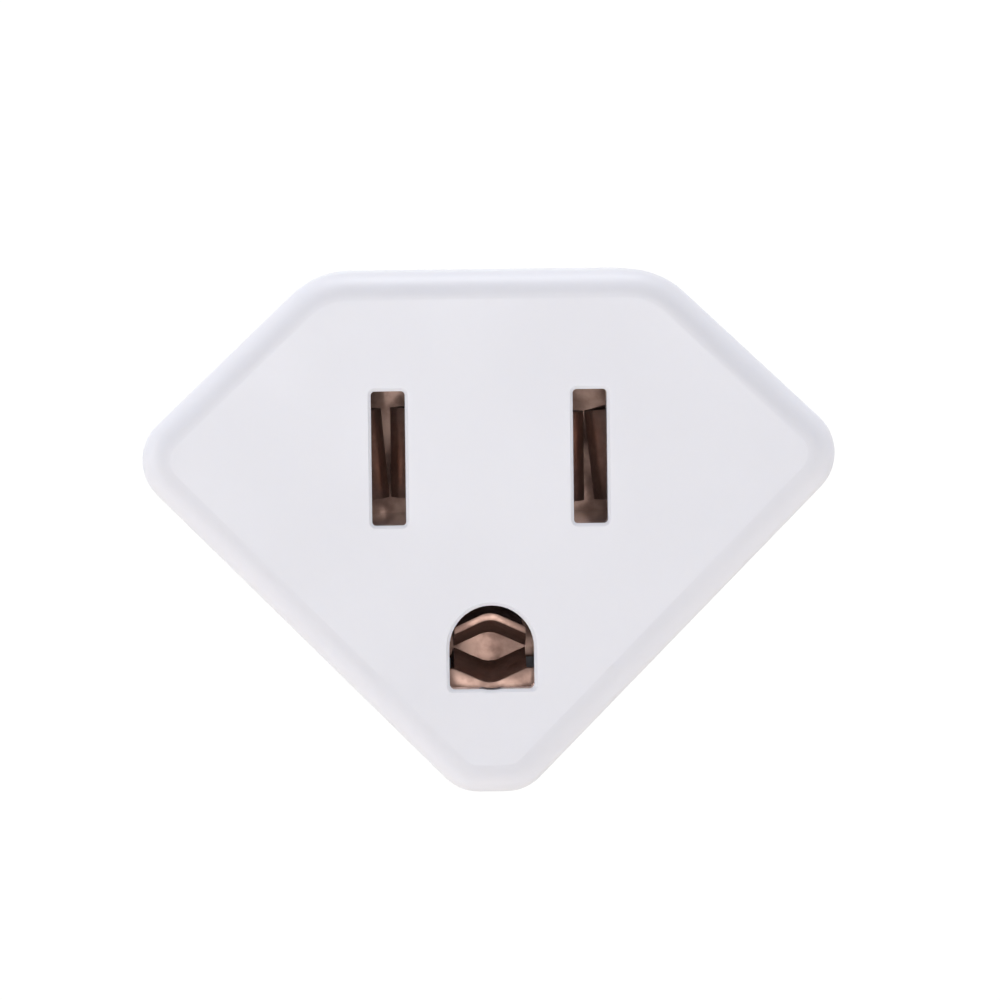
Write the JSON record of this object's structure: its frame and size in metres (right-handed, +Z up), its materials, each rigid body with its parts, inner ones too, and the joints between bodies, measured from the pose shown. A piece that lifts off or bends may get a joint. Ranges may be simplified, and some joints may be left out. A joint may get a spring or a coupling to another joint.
{
  "type": "plug adapter",
  "caption": "Small mains plug adapter with a cut-gem outline: parallel blade slots and an arched ground opening in the face, flat blades behind.",
  "frame": {"origin": "midway between the two blades, on the flat rear face that meets the wall socket", "axes": "+X to the right as the face is seen, +Y out of the rear face along the blades towards the wall socket, +Z up"},
  "size_m": [0.0438, 0.042, 0.0329],
  "materials": {
    "shell_plastic": "moulded white plastic, satin gloss",
    "cover_plastic": "moulded white plastic, satin gloss",
    "blade_brass": "rolled brass strip, cut and folded",
    "clip_bronze": "rolled phosphor bronze strip, browned",
    "rivet_brass": "pressed brass",
    "screw_steel": "zinc plated"
  },
  "bodies": {
    "root": {"front_shell": "shell_plastic", "rear_cover": "cover_plastic", "blade_left": "blade_brass", "blade_right": "blade_brass", "clip_left": "clip_bronze", "clip_right": "clip_bronze", "ground_clip": "clip_bronze", "rivet_left_outer": "rivet_brass", "rivet_left_inner": "rivet_brass", "rivet_right_outer": "rivet_brass", "rivet_right_inner": "rivet_brass", "screw_left": "screw_steel", "screw_right": "screw_steel"}
  },
  "joints": []
}
